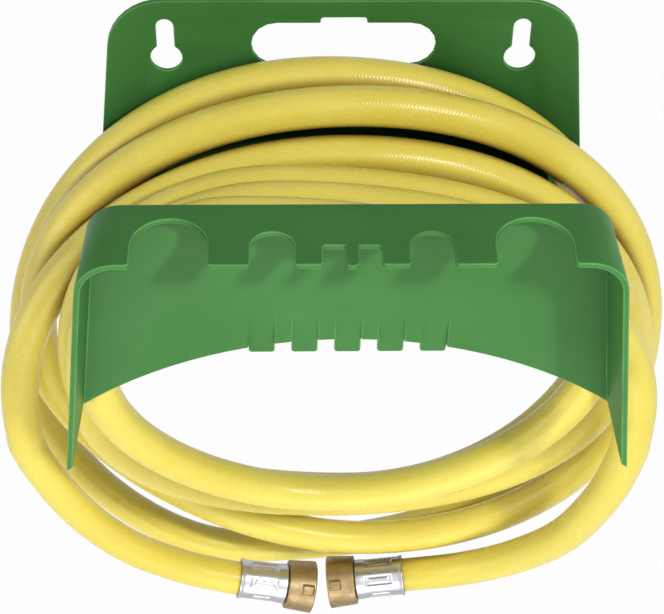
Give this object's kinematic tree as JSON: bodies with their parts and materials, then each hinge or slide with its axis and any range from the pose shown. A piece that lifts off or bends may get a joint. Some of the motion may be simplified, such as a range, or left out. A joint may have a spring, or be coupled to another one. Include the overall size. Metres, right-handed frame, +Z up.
{
  "type": "wall hose hanger",
  "caption": "Moulded wall hanger with an arched saddle and a notched front shelf, carrying a wound garden hose whose ends have swivel couplings.",
  "frame": {"origin": "on the wall, in the rear face of the back plate, on the plane of symmetry and level with the crown of the saddle", "axes": "+Z up, +Y into the wall, +X to the right as seen from the front; the hanger stands out of the wall towards -Y"},
  "size_m": [0.3604, 0.1733, 0.4185],
  "materials": {
    "green_moulding": "moulded plastic, semi-gloss",
    "yellow_hose": "smooth extruded plastic, soft gloss",
    "brass_ring": "cast brass, dull",
    "brass_tail": "turned brass",
    "aluminium_sleeve": "drawn and crimped, bright",
    "black_gasket": "flat rubber"
  },
  "bodies": {
    "hanger": {"wall_hanger": "green_moulding", "hose_coil": "yellow_hose", "hose_lead_left": "yellow_hose", "hose_lead_right": "yellow_hose", "tail_left": "brass_tail", "tail_right": "brass_tail", "gasket_left": "black_gasket", "gasket_right": "black_gasket", "sleeve_left": "aluminium_sleeve", "sleeve_right": "aluminium_sleeve"},
    "ring_left": {"swivel_ring_left": "brass_ring"},
    "ring_right": {"swivel_ring_right": "brass_ring"}
  },
  "joints": [
    {"name": "swivel_left", "type": "hinge", "parent": "hanger", "child": "ring_left", "pos_m": [-0.0145, -0.054, -0.3287], "axis": [0.9775, 0, -0.2109], "continuous": true},
    {"name": "swivel_right", "type": "hinge", "parent": "hanger", "child": "ring_right", "pos_m": [-0.0044, -0.054, -0.324], "axis": [-0.9887, 0, -0.1498], "continuous": true}
  ]
}
